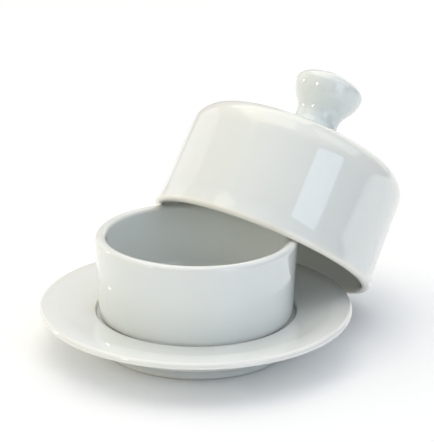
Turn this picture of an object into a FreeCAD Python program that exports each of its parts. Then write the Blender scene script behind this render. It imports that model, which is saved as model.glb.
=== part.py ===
"""Round porcelain butter dish: a footed saucer, the cup that stands in its well, and a knobbed cloche.

Millimetres, +Z up.  The origin is the middle of the saucer's foot ring, on the table.  The cloche is
modelled on its own axis, rim down, and then leant against the cup: its rim bears on the cup's rim at two
points and on the table at one.
"""
import FreeCAD, Part
import Sketcher
import os

Vector = FreeCAD.Vector

# Driving dimensions, in millimetres and degrees.
SIZES = {
    # saucer, heights above the table
    "foot_radius": 46.7,         # outside of the foot ring, on the table
    "foot_inner_radius": 41.5,
    "foot_ceiling": 9.0,         # underside of the floor, inside the foot ring
    "foot_draft": 1.0,           # how much the ring's inner side narrows towards that floor
    "foot_root_radius": 47.4,    # foot ring's outside, where it meets the belly
    "foot_root_height": 4.2,
    "belly_radius": 50.4,        # belly: the wall round the well, seen from outside
    "belly_height": 5.4,
    "flange_radius": 56.4,       # where the belly turns out into the flange
    "flange_height": 12.4,
    "saucer_radius": 76.2,       # outside of the rim
    "rim_height": 21.2,          # upper corner of the rim's edge, before it is rounded
    "rim_face": 2.8,             # height of the rim's outer face
    "ridge_radius": 69.0,        # where the rising surface turns down to the rim's edge
    "ridge_height": 21.9,
    "deck_height": 18.2,         # surface beside the well
    "well_radius": 48.9,         # mouth of the well
    "well_floor_radius": 48.6,
    "well_floor": 16.0,          # top of the well's floor
    "foot_edge_round": 1.1,
    "foot_root_round": 1.6,
    "belly_round": 4.0,
    "flange_round": 8.0,
    "rim_under_round": 1.4,
    "rim_top_round": 1.9,
    "ridge_round": 24.0,
    "well_edge_round": 1.5,
    "well_root_round": 0.5,
    # cup, heights above its own bottom
    "cup_radius": 49.0,          # outside, at the rim
    "cup_foot_radius": 47.5,     # outside, at the bottom
    "cup_height": 40.2,
    "cup_bore_radius": 43.6,     # inside, at the rim
    "cup_floor_radius": 42.4,    # inside, at the floor
    "cup_floor": 5.0,
    "cup_recess_radius": 40.0,   # shallow recess inside the standing ring
    "cup_recess": 0.9,
    "cup_recess_draft": 1.0,
    "cup_rim_round": 2.6,
    "cup_heel_round": 2.8,
    "cup_root_round": 8.0,
    "cup_recess_round": 0.6,
    # cloche, heights above its rim plane
    "lid_radius": 59.5,          # outside, at the rim
    "lid_wall": 4.5,
    "flare_radius": 58.3,        # top of the slight flare at the rim
    "flare_height": 9.0,
    "shoulder_radius": 57.6,     # where the wall would meet the dome
    "dome_height": 67.6,         # outside, on the axis
    "dome_curve": 156.0,         # spherical radius of the top
    "lid_rim_round": 2.1,
    "flare_round": 40.0,
    "shoulder_round": 12.3,
    "shoulder_inner_round": 8.0,
    # knob, heights above the cloche's rim plane
    "knob_offset": 1.7,          # it is set by eye and stands this far off the cloche's axis
    "knob_skirt_radius": 15.2,
    "knob_skirt_height": 63.0,   # below the dome's surface, which trims the skirt
    "knob_trim_radius": 22.0,
    "knob_trim_depth": 2.0,      # how far below the skirt the trimming cut starts
    "knob_neck_radius": 11.7,
    "knob_neck_low": 71.6,
    "knob_neck_high": 77.8,
    "knob_head_radius": 18.3,
    "knob_flank_height": 87.6,   # corner between the flared underside and the head's side
    "knob_height": 99.6,         # top of the head
    "knob_cap_curve": 36.5,      # spherical radius of the head's top
    "knob_skirt_round": 6.0,
    "knob_neck_round": 9.0,
    "knob_flank_round": 13.6,
    "knob_edge_round": 5.9,
    # how the cloche leans
    "lean_side": 51.2,           # direction of its low side, from +X towards +Y
    "lean_tilt": 36.4,           # tilt of its axis from upright
    "lean_reach": 50.8,          # middle of its rim circle, out from the saucer's axis
    "lean_turn": -53.0,          # turn about its own axis
}

doc = FreeCAD.newDocument("ButterDish")
sheet = doc.addObject("Spreadsheet::Sheet", "sizes")
for row, (alias, number) in enumerate(SIZES.items(), start=1):
    sheet.set("A%d" % row, alias)
    sheet.set("B%d" % row, str(number))
    sheet.setAlias("B%d" % row, alias)
doc.recompute()


# Sketches and features

def in_sheet(expression):
    """The expression as another object reads it: each alias is given the sheet's name."""
    words = expression.split()
    return " ".join("sizes." + word if word in SIZES else word for word in words)


def number_of(expression):
    return float(sheet.evalExpression(expression))


def dome_at(radius, curve, top):
    """Height of a dome's surface at a radius from its axis, as an expression."""
    return "{1} - ( {0} ) + sqrt( ( {0} ) ^ 2 - ( {2} ) ^ 2 )".format(curve, top, radius)


def arc_between(start, stop, curve):
    """The shorter arc of a circle through two points that bulges up, and the ends that are the points."""
    chord = stop - start
    sag_line = Vector(chord.y, -chord.x, 0).normalize()
    if sag_line.y > 0:
        sag_line = sag_line * -1
    centre = (start + stop) * 0.5 + sag_line * (curve ** 2 - (chord.Length / 2) ** 2) ** 0.5
    across = Vector(1, 0, 0)
    turns = sorted((point - centre).getAngle(across) for point in (start, stop))
    arc = Part.ArcOfCircle(Part.Circle(centre, Vector(0, 0, 1), curve), turns[0], turns[1])
    return arc, (1, 2) if start.x > stop.x else (2, 1)


def half_section(body, name, corners, axis_shift=None):
    """A closed half-section in the body's XZ plane, with its sizes bound to the sheet.

    A corner is (radius, height), both expressions.  A third entry is the radius of the arc that runs from
    the corner to the next one; without it the side is straight.
    """
    plane = next(f for f in body.Origin.OriginFeatures if f.Role == "XZ_Plane")
    sketch = body.newObject("Sketcher::SketchObject", name)
    sketch.AttachmentSupport = [(plane, "")]
    sketch.MapMode = "FlatFace"
    if axis_shift:
        sketch.setExpression("AttachmentOffset.Base.x", in_sheet(axis_shift))
    points = [Vector(number_of(corner[0]), number_of(corner[1]), 0) for corner in corners]
    sides = []
    for i, corner in enumerate(corners):
        start, stop = points[i], points[(i + 1) % len(points)]
        if len(corner) == 2:
            side = sketch.addGeometry(Part.LineSegment(start, stop), False)
            sides.append((side, 1, 2))
            continue
        arc, ends = arc_between(start, stop, number_of(corner[2]))
        side = sketch.addGeometry(arc, False)
        sides.append((side,) + ends)
        fixed = sketch.addConstraint(Sketcher.Constraint("Radius", side, number_of(corner[2])))
        sketch.setExpression("Constraints[%d]" % fixed, in_sheet(corner[2]))
    for i, (side, _, end) in enumerate(sides):
        following, first, _ = sides[(i + 1) % len(sides)]
        sketch.addConstraint(Sketcher.Constraint("Coincident", side, end, following, first))
    for (side, first, _), corner, point in zip(sides, corners, points):
        for kind, axis, expression, number in (("DistanceX", -2, corner[0], point.x),
                                               ("DistanceY", -1, corner[1], point.y)):
            if expression == "0":
                sketch.addConstraint(Sketcher.Constraint("PointOnObject", side, first, axis))
                continue
            fixed = sketch.addConstraint(Sketcher.Constraint(kind, -1, 1, side, first, number))
            sketch.setExpression("Constraints[%d]" % fixed, in_sheet(expression))
    doc.recompute()
    return sketch


def turn(body, name, sketch):
    """Turn a half-section through a whole circle about the sketch's upright axis."""
    feature = body.newObject("PartDesign::Revolution", name)
    feature.Profile = sketch
    feature.ReferenceAxis = (sketch, ["V_Axis"])
    feature.Angle = 360
    doc.recompute()


def turn_away(body, name, sketch):
    """Cut away what a half-section sweeps in a whole circle."""
    volume = body.Tip.Shape.Volume
    feature = body.newObject("PartDesign::Groove", name)
    feature.Profile = sketch
    feature.ReferenceAxis = (sketch, ["V_Axis"])
    feature.Angle = 360
    feature.Reversed = True
    doc.recompute()
    if feature.Shape.Volume > 0.999 * volume:
        raise RuntimeError("%s cuts nothing" % name)


def round_edge(body, name, corner, size):
    """Round the circular edge at one (radius, height) corner of the body so far."""
    radius, height = number_of(corner[0]), number_of(corner[1])
    tip = body.Tip
    found = [
        "Edge%d" % (i + 1) for i, edge in enumerate(tip.Shape.Edges)
        if not edge.Degenerated and isinstance(edge.Curve, Part.Circle)
        and abs(edge.Curve.Radius - radius) < 0.01
        and abs(edge.Curve.Center.z - height) < 0.01
    ]
    if len(found) != 1:
        raise RuntimeError("%s: %d edges at radius %.2f, height %.2f" % (name, len(found), radius, height))
    fillet = body.newObject("PartDesign::Fillet", name)
    fillet.Base = (tip, found)
    fillet.setExpression("Radius", in_sheet(size))
    doc.recompute()


# Saucer: jiggered in one piece, with a foot ring, a well for the cup and a thick rounded rim

def make_saucer():
    foot_outer = ("foot_radius", "0")
    foot_inner = ("foot_inner_radius", "0")
    foot_root = ("foot_root_radius", "foot_root_height")
    belly = ("belly_radius", "belly_height")
    flange = ("flange_radius", "flange_height")
    rim_under = ("saucer_radius", "rim_height - rim_face")
    rim_top = ("saucer_radius", "rim_height")
    ridge = ("ridge_radius", "ridge_height")
    well_edge = ("well_radius", "deck_height")
    well_root = ("well_floor_radius", "well_floor")
    body = doc.addObject("PartDesign::Body", "saucer")
    outline = [
        ("0", "foot_ceiling"), ("foot_inner_radius - foot_draft", "foot_ceiling"), foot_inner, foot_outer,
        foot_root, belly, flange, rim_under, rim_top, ridge, well_edge, well_root, ("0", "well_floor"),
    ]
    turn(body, "saucer_turned", half_section(body, "saucer_section", outline))
    round_edge(body, "saucer_foot_inner", foot_inner, "foot_edge_round")
    round_edge(body, "saucer_foot_outer", foot_outer, "foot_edge_round")
    round_edge(body, "saucer_foot_root", foot_root, "foot_root_round")
    round_edge(body, "saucer_belly", belly, "belly_round")
    round_edge(body, "saucer_flange", flange, "flange_round")
    round_edge(body, "saucer_rim_top", rim_top, "rim_top_round")
    round_edge(body, "saucer_rim_under", rim_under, "rim_under_round")
    round_edge(body, "saucer_ridge", ridge, "ridge_round")
    round_edge(body, "saucer_well_edge", well_edge, "well_edge_round")
    round_edge(body, "saucer_well_root", well_root, "well_root_round")
    return body


# Cup: a straight-sided dish that stands loose in the saucer's well

def make_cup():
    heel = ("cup_foot_radius", "0")
    rim_outer = ("cup_radius", "cup_height")
    rim_inner = ("cup_bore_radius", "cup_height")
    root = ("cup_floor_radius", "cup_floor")
    recess = ("cup_recess_radius", "0")
    body = doc.addObject("PartDesign::Body", "cup")
    outline = [
        ("0", "cup_recess"), ("cup_recess_radius - cup_recess_draft", "cup_recess"), recess, heel, rim_outer,
        rim_inner, root, ("0", "cup_floor"),
    ]
    turn(body, "cup_turned", half_section(body, "cup_section", outline))
    round_edge(body, "cup_heel", heel, "cup_heel_round")
    round_edge(body, "cup_recess_edge", recess, "cup_recess_round")
    round_edge(body, "cup_rim_outer", rim_outer, "cup_rim_round")
    round_edge(body, "cup_rim_inner", rim_inner, "cup_rim_round")
    round_edge(body, "cup_root", root, "cup_root_round")
    body.setExpression("Placement.Base.z", "sizes.well_floor")
    return body


# Cloche: an even shell with a slightly flared rim, a round shoulder and a low dome

LEANING = (
    "placement( vector( lean_reach * cos( lean_side ) ; lean_reach * sin( lean_side ) ; {height} ) ; "
    "rotation( vector( 0 ; 0 ; 1 ) ; lean_side ) * rotation( vector( 0 ; 1 ; 0 ) ; lean_tilt ) * "
    "rotation( vector( 0 ; 0 ; 1 ) ; lean_turn ) )"
)


def leaning():
    """Placement of the cloche's own frame, with the lowest point of its rounded rim on the table."""
    flare_lean = "atan( ( lid_radius - flare_radius ) / flare_height )"
    round_radius = (
        "( lid_radius - lid_rim_round * ( tan( " + flare_lean + " ) + 1 / cos( " + flare_lean + " ) ) )"
    )
    height = round_radius + " * sin( lean_tilt ) + lid_rim_round * ( 1 - cos( lean_tilt ) )"
    return in_sheet(LEANING.format(height=height))


def make_lid():
    inner_curve, inner_top = "dome_curve - lid_wall", "dome_height - lid_wall"
    inner_radius = "shoulder_radius - lid_wall"
    rim_outer = ("lid_radius", "0")
    rim_inner = ("lid_radius - lid_wall", "0")
    flare = ("flare_radius", "flare_height")
    shoulder = ("shoulder_radius", dome_at("shoulder_radius", "dome_curve", "dome_height"))
    shoulder_inner = (inner_radius, dome_at(inner_radius, inner_curve, inner_top))
    body = doc.addObject("PartDesign::Body", "lid")
    outline = [
        rim_outer, flare, shoulder + ("dome_curve",), ("0", "dome_height"), ("0", inner_top, inner_curve),
        shoulder_inner, rim_inner,
    ]
    turn(body, "lid_turned", half_section(body, "lid_section", outline))
    round_edge(body, "lid_rim_outer", rim_outer, "lid_rim_round")
    round_edge(body, "lid_rim_inner", rim_inner, "lid_rim_round")
    round_edge(body, "lid_flare", flare, "flare_round")
    round_edge(body, "lid_shoulder", shoulder, "shoulder_round")
    round_edge(body, "lid_shoulder_inner", shoulder_inner, "shoulder_inner_round")
    body.setExpression("Placement", leaning())
    return body


# Knob: turned on its own, then stuck on the dome with slip before firing

def make_knob():
    cap_edge_height = dome_at("knob_head_radius", "knob_cap_curve", "knob_height")
    neck_low = ("knob_neck_radius", "knob_neck_low")
    neck_high = ("knob_neck_radius", "knob_neck_high")
    flank = ("knob_head_radius", "knob_flank_height")
    edge = ("knob_head_radius", cap_edge_height)
    body = doc.addObject("PartDesign::Body", "lid_knob")
    outline = [
        ("0", "knob_skirt_height"), ("knob_skirt_radius", "knob_skirt_height"), neck_low, neck_high, flank,
        edge + ("knob_cap_curve",), ("0", "knob_height"),
    ]
    turn(body, "knob_turned", half_section(body, "knob_section", outline, "knob_offset"))
    round_edge(body, "knob_skirt", neck_low, "knob_skirt_round")
    round_edge(body, "knob_neck", neck_high, "knob_neck_round")
    round_edge(body, "knob_flank", flank, "knob_flank_round")
    round_edge(body, "knob_edge", edge, "knob_edge_round")
    dome_edge = ("knob_trim_radius", dome_at("knob_trim_radius", "dome_curve", "dome_height"))
    below = "knob_skirt_height - knob_trim_depth"
    under_dome = [
        ("0", below), ("knob_trim_radius", below), dome_edge + ("dome_curve",), ("0", "dome_height"),
    ]
    turn_away(body, "knob_trimmed", half_section(body, "knob_seat", under_dome))
    body.setExpression("Placement", leaning())
    return body


bodies = [make_saucer(), make_cup(), make_lid(), make_knob()]
doc.recompute()

for item in doc.Objects:
    if "Invalid" in item.State or "Error" in item.State:
        raise RuntimeError("%s: %s" % (item.Name, item.State))
for body in bodies:
    if body.Shape.isNull() or not body.Shape.isValid() or len(body.Shape.Solids) != 1:
        raise RuntimeError("%s is not one valid solid" % body.Label)
    box = body.Shape.BoundBox
    print("%-9s %8.2f cm3   z %7.3f to %7.3f" % (
        body.Label, body.Shape.Volume / 1000, box.ZMin, box.ZMax))

os.makedirs("parts", exist_ok=True)
for body in bodies:
    body.Shape.exportStep("parts/%s.step" % body.Label)
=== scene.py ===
import math

import bmesh
import bpy
import numpy as np
from mathutils import Matrix, Vector


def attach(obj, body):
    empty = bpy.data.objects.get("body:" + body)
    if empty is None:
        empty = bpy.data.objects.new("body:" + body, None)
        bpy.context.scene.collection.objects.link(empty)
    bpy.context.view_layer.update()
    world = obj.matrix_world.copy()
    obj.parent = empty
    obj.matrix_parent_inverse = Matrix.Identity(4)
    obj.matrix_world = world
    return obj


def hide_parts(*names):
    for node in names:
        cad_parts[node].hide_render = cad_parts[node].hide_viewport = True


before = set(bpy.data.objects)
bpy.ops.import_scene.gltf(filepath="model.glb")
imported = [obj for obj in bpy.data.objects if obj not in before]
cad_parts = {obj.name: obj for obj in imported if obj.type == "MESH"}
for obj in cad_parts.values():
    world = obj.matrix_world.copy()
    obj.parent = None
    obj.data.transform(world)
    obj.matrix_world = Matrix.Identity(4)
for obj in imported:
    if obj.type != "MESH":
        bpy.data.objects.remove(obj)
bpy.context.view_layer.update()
mm = 0.001


# Saucer.  A footed plate of white porcelain, jiggered in one piece over a plaster mould, with a well sunk
# in its middle that keeps the cup from sliding.  It is glazed all over but for the foot ring, which is
# wiped bare so that it can't stick to the kiln shelf.

def choose(wanted):
    """In edit mode, select only the vertices whose place passes a test."""
    bpy.ops.mesh.select_all(action="DESELECT")
    shape = bmesh.from_edit_mesh(bpy.context.object.data)
    for vertex in shape.verts:
        vertex.select_set(wanted(vertex.co))
    shape.select_flush(True)
    bmesh.update_edit_mesh(bpy.context.object.data)


def draw_outline(name, corners):
    """A new piece, left in edit mode, that is only its half-section: one vertex pulled from corner to corner.

    A corner is (radius, height) and, where it is rounded, the radius of the round, all in millimetres."""
    bpy.ops.object.select_all(action="DESELECT")
    bpy.ops.mesh.primitive_plane_add(size=mm, enter_editmode=True)
    piece = bpy.context.object
    piece.name = piece.data.name = name
    bpy.ops.mesh.select_mode(type="VERT")
    bpy.ops.mesh.merge(type="CENTER")
    places = [Vector((corner[0], 0, corner[1])) * mm for corner in corners]
    bpy.ops.transform.translate(value=places[0])
    for here, there in zip(places, places[1:]):
        bpy.ops.mesh.extrude_vertices_move(TRANSFORM_OT_translate={"value": there - here})
    for i, corner in enumerate(corners):
        if len(corner) == 3:
            turn = (places[i] - places[i - 1]).angle(places[i + 1] - places[i])
            choose(lambda place: (place - places[i]).length < 0.01 * mm)
            bpy.ops.mesh.bevel(offset=corner[2] * mm * math.tan(turn / 2), offset_type="OFFSET",
                               segments=8, affect="VERTICES")
    return piece


def turn_outline(longest=4, sides=96):
    """Turn the outline into a closed solid of revolution, and smooth it."""
    piece = bpy.context.object
    while True:
        shape = bmesh.from_edit_mesh(piece.data)
        for edge in shape.edges:
            edge.select_set(False)
        long_edges = [edge for edge in shape.edges if edge.calc_length() > longest * mm]
        for edge in long_edges:
            edge.select_set(True)
        bmesh.update_edit_mesh(piece.data)
        if not long_edges:
            break
        bpy.ops.mesh.subdivide(number_cuts=1)
    bpy.ops.mesh.select_all(action="SELECT")
    bpy.ops.mesh.spin(steps=sides, angle=math.tau, center=(0, 0, 0), axis=(0, 0, 1))
    bpy.ops.mesh.select_all(action="SELECT")
    bpy.ops.mesh.remove_doubles(threshold=0.001 * mm)
    bpy.ops.mesh.normals_make_consistent(inside=False)
    bpy.ops.object.mode_set(mode="OBJECT")
    smoothing = piece.modifiers.new("smoothing", "SUBSURF")
    smoothing.levels = smoothing.render_levels = 1
    bpy.ops.object.modifier_apply(modifier="smoothing")
    bpy.ops.object.shade_smooth()


def feel_uneven(piece, ground, depth=0.16):
    """Sink the surface here and there by up to depth millimetres, as hand-finished clay is, but nowhere
    within 1.5 mm of the height that the piece stands on."""
    free = piece.vertex_groups.new(name="free_of_the_ground")
    above = [vertex.index for vertex in piece.data.vertices if vertex.co.z > (ground + 1.5) * mm]
    free.add(above, 1, "REPLACE")
    clouds = bpy.data.textures.new(piece.name + "_unevenness", "CLOUDS")
    clouds.noise_scale = 0.035
    uneven = piece.modifiers.new("unevenness", "DISPLACE")
    uneven.texture = clouds
    uneven.vertex_group = free.name
    uneven.strength = depth * mm
    uneven.mid_level = 1
    bpy.ops.object.modifier_apply(modifier=uneven.name)


def mark_proud_edges(piece, reach=2.0):
    """Store on each vertex how proud it stands: near 1 on a tight edge, where glaze runs thin, 0.5 on an even
    wall, near 0 in a tight hollow, where glaze pools."""
    mesh = piece.data
    count = len(mesh.vertices)
    places = np.empty(count * 3)
    mesh.vertices.foreach_get("co", places)
    places = places.reshape(-1, 3)
    normals = np.empty(count * 3)
    mesh.vertices.foreach_get("normal", normals)
    normals = normals.reshape(-1, 3)
    ends = np.empty(len(mesh.edges) * 2, dtype=int)
    mesh.edges.foreach_get("vertices", ends)
    start, end = ends.reshape(-1, 2).T
    run = places[end] - places[start]
    bend = ((normals[end] - normals[start]) * run).sum(1) / (run ** 2).sum(1)
    edges_at = np.bincount(start, minlength=count) + np.bincount(end, minlength=count)
    mean = (np.bincount(start, bend, count) + np.bincount(end, bend, count)) / edges_at
    proud = 0.5 + 0.5 * np.tanh(2 * mean * reach * mm)
    for _ in range(3):
        around = np.bincount(start, proud[end], count) + np.bincount(end, proud[start], count)
        proud = 0.5 * proud + 0.5 * around / edges_at
    mesh.attributes.new("proud", "FLOAT", "POINT").data.foreach_set("value", proud)


def porcelain(name, pooled, even, thin, placed=Matrix.Identity(4)):
    """Glazed porcelain, with its turning lines about the axis of a piece that stands at placed."""
    material = bpy.data.materials.new(name)
    material.use_nodes = True
    nodes, links = material.node_tree.nodes, material.node_tree.links
    shader = nodes["Principled BSDF"]

    def add(kind, **settings):
        node = nodes.new(kind)
        for setting, value in settings.items():
            setattr(node, setting, value)
        return node

    coordinates = add("ShaderNodeTexCoord")
    own_axes = add("ShaderNodeMapping", vector_type="TEXTURE")
    own_axes.inputs["Location"].default_value = placed.to_translation()
    own_axes.inputs["Rotation"].default_value = placed.to_euler()
    links.new(coordinates.outputs["Object"], own_axes.inputs["Vector"])

    # colour: the depth of the glaze, a faint mottle, and a few pinpoint iron specks
    proud = add("ShaderNodeAttribute", attribute_name="proud")
    depth = add("ShaderNodeValToRGB")
    depth.color_ramp.elements[0].position = 0.22
    depth.color_ramp.elements[0].color = (*pooled, 1)
    depth.color_ramp.elements[1].position = 0.5
    depth.color_ramp.elements[1].color = (*even, 1)
    depth.color_ramp.elements.new(0.78).color = (*thin, 1)
    links.new(proud.outputs["Fac"], depth.inputs["Fac"])
    mottle = add("ShaderNodeTexNoise")
    mottle.inputs["Scale"].default_value = 34
    mottle.inputs["Detail"].default_value = 3
    links.new(own_axes.outputs["Vector"], mottle.inputs["Vector"])
    mottled = add("ShaderNodeMix", data_type="RGBA", blend_type="MULTIPLY")
    mottled.inputs["B"].default_value = (0.955, 0.965, 0.96, 1)
    links.new(mottle.outputs["Fac"], mottled.inputs["Factor"])
    links.new(depth.outputs["Color"], mottled.inputs["A"])
    cells = add("ShaderNodeTexVoronoi")
    cells.inputs["Scale"].default_value = 45
    links.new(own_axes.outputs["Vector"], cells.inputs["Vector"])
    speck = add("ShaderNodeMapRange")
    speck.inputs["From Min"].default_value = 0.012
    speck.inputs["From Max"].default_value = 0.006
    speck.inputs["To Max"].default_value = 0.35
    links.new(cells.outputs["Distance"], speck.inputs["Value"])
    specked = add("ShaderNodeMix", data_type="RGBA")
    specked.inputs["B"].default_value = (0.34, 0.29, 0.22, 1)
    links.new(speck.outputs["Result"], specked.inputs["Factor"])
    links.new(mottled.outputs["Result"], specked.inputs["A"])
    links.new(specked.outputs["Result"], shader.inputs["Base Color"])

    # gloss: a little less even than glass
    gloss = add("ShaderNodeTexNoise")
    gloss.inputs["Scale"].default_value = 260
    links.new(own_axes.outputs["Vector"], gloss.inputs["Vector"])
    dulled = add("ShaderNodeMapRange")
    dulled.inputs["To Min"].default_value = 0.05
    dulled.inputs["To Max"].default_value = 0.12
    links.new(gloss.outputs["Fac"], dulled.inputs["Value"])
    links.new(dulled.outputs["Result"], shader.inputs["Roughness"])
    shader.inputs["IOR"].default_value = 1.5
    shader.inputs["Coat Weight"].default_value = 0.8
    shader.inputs["Coat Roughness"].default_value = 0.02

    # relief: soft ripples of the glaze, over faint lines left by the turning tool
    flat = add("ShaderNodeVectorMath", operation="MULTIPLY")
    flat.inputs[1].default_value = (1, 1, 0)
    links.new(own_axes.outputs["Vector"], flat.inputs[0])
    radius = add("ShaderNodeVectorMath", operation="LENGTH")
    links.new(flat.outputs["Vector"], radius.inputs[0])
    height = add("ShaderNodeSeparateXYZ")
    links.new(own_axes.outputs["Vector"], height.inputs["Vector"])
    on_section = add("ShaderNodeCombineXYZ")
    links.new(radius.outputs["Value"], on_section.inputs["X"])
    links.new(height.outputs["Z"], on_section.inputs["Z"])
    turning = add("ShaderNodeTexNoise")
    turning.inputs["Scale"].default_value = 420
    links.new(on_section.outputs["Vector"], turning.inputs["Vector"])
    lines = add("ShaderNodeBump")
    lines.inputs["Strength"].default_value = 0.12
    lines.inputs["Distance"].default_value = 0.08 * mm
    links.new(turning.outputs["Fac"], lines.inputs["Height"])
    ripple = add("ShaderNodeTexNoise")
    ripple.inputs["Scale"].default_value = 110
    ripple.inputs["Detail"].default_value = 1
    links.new(own_axes.outputs["Vector"], ripple.inputs["Vector"])
    rippled = add("ShaderNodeBump")
    rippled.inputs["Strength"].default_value = 0.25
    rippled.inputs["Distance"].default_value = 0.2 * mm
    links.new(ripple.outputs["Fac"], rippled.inputs["Height"])
    links.new(lines.outputs["Normal"], rippled.inputs["Normal"])
    links.new(rippled.outputs["Normal"], shader.inputs["Normal"])
    return material


def biscuit(name):
    """Porcelain where the glaze was wiped off: matt, a little warmer, with a fine sandy grain."""
    material = bpy.data.materials.new(name)
    material.use_nodes = True
    nodes, links = material.node_tree.nodes, material.node_tree.links
    shader = nodes["Principled BSDF"]
    coordinates = nodes.new("ShaderNodeTexCoord")
    grain = nodes.new("ShaderNodeTexNoise")
    grain.inputs["Scale"].default_value = 2200
    grain.inputs["Detail"].default_value = 4
    links.new(coordinates.outputs["Object"], grain.inputs["Vector"])
    tone = nodes.new("ShaderNodeValToRGB")
    tone.color_ramp.elements[0].color = (0.60, 0.55, 0.46, 1)
    tone.color_ramp.elements[1].color = (0.78, 0.74, 0.66, 1)
    links.new(grain.outputs["Fac"], tone.inputs["Fac"])
    links.new(tone.outputs["Color"], shader.inputs["Base Color"])
    shader.inputs["Roughness"].default_value = 0.85
    rough = nodes.new("ShaderNodeBump")
    rough.inputs["Strength"].default_value = 0.5
    rough.inputs["Distance"].default_value = 0.1 * mm
    links.new(grain.outputs["Fac"], rough.inputs["Height"])
    links.new(rough.outputs["Normal"], shader.inputs["Normal"])
    return material


def wipe_bare(piece, material, wiped):
    """Give the faces whose corners all pass a test the piece's second material."""
    piece.data.materials.append(material)
    bpy.ops.object.mode_set(mode="EDIT")
    bpy.ops.mesh.select_mode(type="VERT")
    choose(wiped)
    piece.active_material_index = 1
    bpy.ops.object.material_slot_assign()
    bpy.ops.object.mode_set(mode="OBJECT")


saucer_radius = 76.2
rim_height = 21.2
rim_face = 2.8
deck_height = 18.2
well_radius = 48.9
well_draft = 0.3
well_floor = 16.0
foot_radius = 46.7
under_well = 9.0
saucer = draw_outline("saucer_glazed", [
    (0, under_well), (40.5, under_well, 1.5), (41.5, 0, 1.1), (foot_radius, 0, 1.1), (47.4, 4.2, 1.6),
    (50.4, 5.4, 4.0), (56.4, 12.4, 8.0),
    (saucer_radius, rim_height - rim_face, 1.4), (saucer_radius, rim_height, 1.9), (69.0, 21.9, 24.0),
    (well_radius, deck_height, 1.5), (well_radius - well_draft, well_floor, 0.5), (0, well_floor),
])
turn_outline()
feel_uneven(saucer, 0)
mark_proud_edges(saucer)
saucer.data.materials.append(porcelain(
    "saucer_glaze", pooled=(0.76, 0.79, 0.77), even=(0.83, 0.845, 0.815), thin=(0.87, 0.865, 0.82),
))
wipe_bare(saucer, biscuit("saucer_bare_foot"), lambda place: place.z < 0.6 * mm)
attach(saucer, "saucer")
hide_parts("saucer")


# Cup.  A straight-sided dish for the butter, of the same porcelain, cast and then trimmed on the wheel.  It
# stands loose in the saucer's well on a narrow ring round a shallow recess.

cup_radius = 49.0
cup_height = 40.2
cup_floor = 5.0
cup_recess = 0.9
cup = draw_outline("cup_glazed", [
    (0, cup_recess), (39.0, cup_recess), (40.0, 0, 0.6), (47.5, 0, 2.8),
    (cup_radius, cup_height, 2.6), (43.6, cup_height, 2.6), (42.4, cup_floor, 8.0), (0, cup_floor),
])
turn_outline()
cup.location.z = well_floor * mm
bpy.ops.object.transform_apply()
feel_uneven(cup, well_floor)
mark_proud_edges(cup)
cup.data.materials.append(porcelain(
    "cup_glaze", pooled=(0.75, 0.78, 0.75), even=(0.80, 0.825, 0.80), thin=(0.815, 0.825, 0.79),
    placed=Matrix.Translation((0, 0, well_floor * mm)),
))
wipe_bare(cup, biscuit("cup_bare_ring"), lambda place: place.z < (well_floor + 0.5) * mm)
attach(cup, "cup")
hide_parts("cup")


# Cloche.  A cast porcelain bell of even wall with a slightly flared rim and a low dome.  It is made rim down
# on its own axis, and then leant against the cup with its low side on the table.

lid_radius = 59.5
wall = 4.5
dome_height = 67.6
dome_curve = 156.0


def dome(radius, curve=dome_curve, top=dome_height):
    """Height of a spherical cap at a distance from its axis."""
    return top - curve + math.sqrt(curve ** 2 - radius ** 2)


def dome_outline(radii, inset=0.0):
    """Corners along the dome at some radii, inset from its outer face."""
    return [(radius, dome(radius, dome_curve - inset, dome_height - inset)) for radius in radii]


flare_radius = 58.3
flare_height = 9.0
rim_round = 2.1
lean_side = math.radians(51.2)
lean_tilt = math.radians(36.4)
lean_turn = math.radians(-53.0)
lean_reach = 50.8

# the middle of the rim stands so high that the rounded edge on the low side just touches the table
flare = math.atan((lid_radius - flare_radius) / flare_height)
bearing_radius = lid_radius - rim_round * (math.tan(flare) + 1 / math.cos(flare))
lean_height = bearing_radius * math.sin(lean_tilt) + rim_round * (1 - math.cos(lean_tilt))
rim_middle = Vector((lean_reach * math.cos(lean_side), lean_reach * math.sin(lean_side), lean_height)) * mm
leaning = (
    Matrix.Translation(rim_middle) @ Matrix.Rotation(lean_side, 4, "Z")
    @ Matrix.Rotation(lean_tilt, 4, "Y") @ Matrix.Rotation(lean_turn, 4, "Z")
)


def lean(piece):
    """Carry a piece made on the cloche's own axis to its place against the cup, and leave it in its mesh."""
    piece.matrix_world = leaning
    bpy.ops.object.transform_apply()


shoulder = 57.6
lid = draw_outline("cloche_shell", [
    (lid_radius - wall, 0, rim_round), (lid_radius, 0, rim_round), (flare_radius, flare_height, 40.0),
    (shoulder, dome(shoulder), 12.3),
    *dome_outline((46, 36, 27, 18, 9, 0)),
    *dome_outline((0, 9, 18, 27, 36, 44), wall),
    (shoulder - wall, dome(shoulder - wall, dome_curve - wall, dome_height - wall), 8.0),
    (lid_radius - wall, 0.001),  # the outline comes back to where it began
])
turn_outline()
lean(lid)
feel_uneven(lid, 0)
mark_proud_edges(lid)
# the cloche's tight edges, above all the lip, are warm for their thin glaze and lighter still as painted light
# on the lip
lid.data.materials.append(porcelain(
    "cloche_glaze", pooled=(0.74, 0.77, 0.74), even=(0.81, 0.825, 0.79), thin=(0.92, 0.89, 0.80),
    placed=leaning,
))
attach(lid, "cloche")
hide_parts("lid")


# Knob.  Thrown by itself as a flared stub with a domed cap, stuck on the leather-hard cloche with slip a
# little off its middle, and glazed over with it, so that a soft fillet of slip and glaze runs round the foot.

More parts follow.
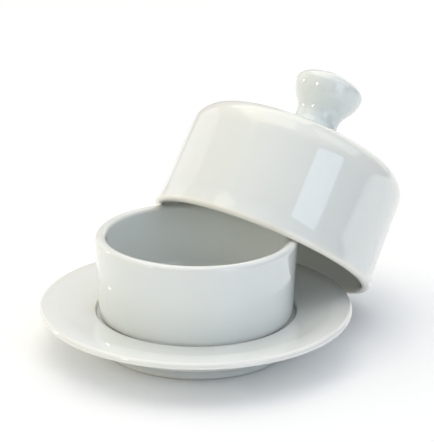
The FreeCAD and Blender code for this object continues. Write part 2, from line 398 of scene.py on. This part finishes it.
knob_offset = 1.7
knob_neck = 11.7
knob_head = 18.3
knob_top = 99.6
cap_curve = 36.5
knob = draw_outline("cloche_knob", [
    (0, 66.0), (18.0, 66.3), (14.45, 66.95, 3.0), (knob_neck, 71.6, 5.5), (knob_neck, 77.8, 9.0),
    (knob_head, 87.6, 13.6), (knob_head, dome(knob_head, cap_curve, knob_top), 5.9),
    *[(radius, dome(radius, cap_curve, knob_top)) for radius in (11, 8, 5, 2.5, 0)],
])
turn_outline(longest=2)
knob.location.x = knob_offset * mm
bpy.ops.object.transform_apply()
lean(knob)
feel_uneven(knob, 0)
mark_proud_edges(knob)
knob.data.materials.append(porcelain(
    "knob_glaze", pooled=(0.78, 0.84, 0.83), even=(0.78, 0.82, 0.805), thin=(0.83, 0.85, 0.82),
    placed=leaning @ Matrix.Translation((knob_offset * mm, 0, 0)),
))
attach(knob, "cloche")
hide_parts("lid_knob")


# Table, light and camera.  A white table in broad soft light from above and behind, with a bluish window in
# front on the right that leaves a streak on the cloche, and two small lamps on the left that leave points of
# light on the knob.

bpy.ops.object.select_all(action="DESELECT")
bpy.ops.mesh.primitive_plane_add(size=8)
table = bpy.context.object
table.name = "table"
white = bpy.data.materials.new("white_table")
white.use_nodes = True
table_shader = white.node_tree.nodes["Principled BSDF"]
table_shader.inputs["Base Color"].default_value = (0.97, 0.97, 0.97, 1)
table_shader.inputs["Roughness"].default_value = 1.0
table_shader.inputs["Specular IOR Level"].default_value = 0.0
table.data.materials.append(white)

# the room's own light: soft lobes from the back, the top, the left, the left front and the high front
world = bpy.data.worlds.new("room")
world.use_nodes = True
room, wires = world.node_tree.nodes, world.node_tree.links
direction = room.new("ShaderNodeTexCoord")
glow_so_far = None
lobes = (
    ((0, 1, 0), (0.61, 0.58, 0.56)),
    ((0, 0, 1), (0.78, 0.82, 1.02)),
    ((-1, 0, 0), (0.68, 0.61, 0.46)),
    ((-0.52, -0.45, 0.73), (0.22, 0.21, 0.14)),
    ((0.05, -0.56, 0.83), (0.15, 0.15, 0.15)),
)
for side, glow in lobes:
    facing = room.new("ShaderNodeVectorMath")
    facing.operation = "DOT_PRODUCT"
    facing.inputs[1].default_value = side
    wires.new(direction.outputs["Generated"], facing.inputs[0])
    lit = room.new("ShaderNodeMath")
    lit.operation = "MAXIMUM"
    lit.inputs[1].default_value = 0
    wires.new(facing.outputs["Value"], lit.inputs[0])
    soft = room.new("ShaderNodeMath")
    soft.operation = "POWER"
    soft.inputs[1].default_value = 2
    wires.new(lit.outputs["Value"], soft.inputs[0])
    lobe = room.new("ShaderNodeVectorMath")
    lobe.operation = "SCALE"
    lobe.inputs[0].default_value = glow
    wires.new(soft.outputs["Value"], lobe.inputs["Scale"])
    total = room.new("ShaderNodeVectorMath")
    total.operation = "ADD"
    wires.new(lobe.outputs["Vector"], total.inputs[0])
    if glow_so_far:
        wires.new(glow_so_far, total.inputs[1])
    glow_so_far = total.outputs["Vector"]
wires.new(glow_so_far, room["Background"].inputs["Color"])
bpy.context.scene.world = world
bpy.context.scene.view_settings.view_transform = "Standard"


def softbox(name, around, up, width, height, away, glow, aim=(0.01, 0.01, 0.06), roll=0):
    """A rectangular light that looks at aim from the bearing around, in degrees from the front towards the
    right, and up above the level; glow is its radiance in red, green and blue."""
    light = bpy.data.lights.new(name, "AREA")
    light.shape = "RECTANGLE"
    light.size = width
    light.size_y = height
    light.color = [part / max(glow) for part in glow]
    light.energy = max(glow) * width * height * math.pi
    lamp = bpy.data.objects.new(name, light)
    bpy.context.scene.collection.objects.link(lamp)
    lamp.matrix_world = (
        Matrix.Translation(aim) @ Matrix.Rotation(math.radians(around), 4, "Z")
        @ Matrix.Rotation(math.pi / 2 - math.radians(up), 4, "X") @ Matrix.Rotation(math.radians(roll), 4, "Z")
        @ Matrix.Translation((0, 0, away))
    )


softbox("window", 33.4, 16.4, 0.467, 0.513, 0.9, (1.25, 1.55, 1.95), aim=(0.058, 0, 0.078), roll=-30.3)
softbox("overhead", -104, 78, 1.2, 1.2, 1.4, (0.94, 0.87, 0.58))
softbox("overhead_right", 98, 45, 0.9, 0.9, 1.5, (0.72, 0.76, 0.70))
softbox("overhead_back", 180, 50, 1.2, 0.8, 1.5, (0.87, 0.82, 0.58))
softbox("left_back", -130, 14.5, 1.2, 0.8, 1.6, (0.36, 0.41, 0.52))
softbox("right_back", 149, 14.5, 1.2, 0.8, 1.6, (0.54, 0.57, 0.49))
softbox("small_lamp_front", -51, 25, 0.07, 0.07, 1.1, (40, 40, 36))
softbox("small_lamp_left", -114, 13, 0.07, 0.07, 1.1, (30, 30, 28))

camera = bpy.data.objects.new("camera", bpy.data.cameras.new("camera"))
bpy.context.scene.collection.objects.link(camera)
bpy.context.scene.camera = camera
look_at = Vector((9.72, 0, 62.24)) * mm
distance = 0.7
camera_fall = math.radians(18.683)
camera_roll = math.radians(0.687)
camera.data.lens = 118.88
camera.data.clip_start = 0.01
back = Vector((0, -math.cos(camera_fall), math.sin(camera_fall)))
camera.matrix_world = (
    Matrix.Translation(look_at + back * distance)
    @ Matrix.Rotation(math.pi / 2 - camera_fall, 4, "X") @ Matrix.Rotation(camera_roll, 4, "Z")
)
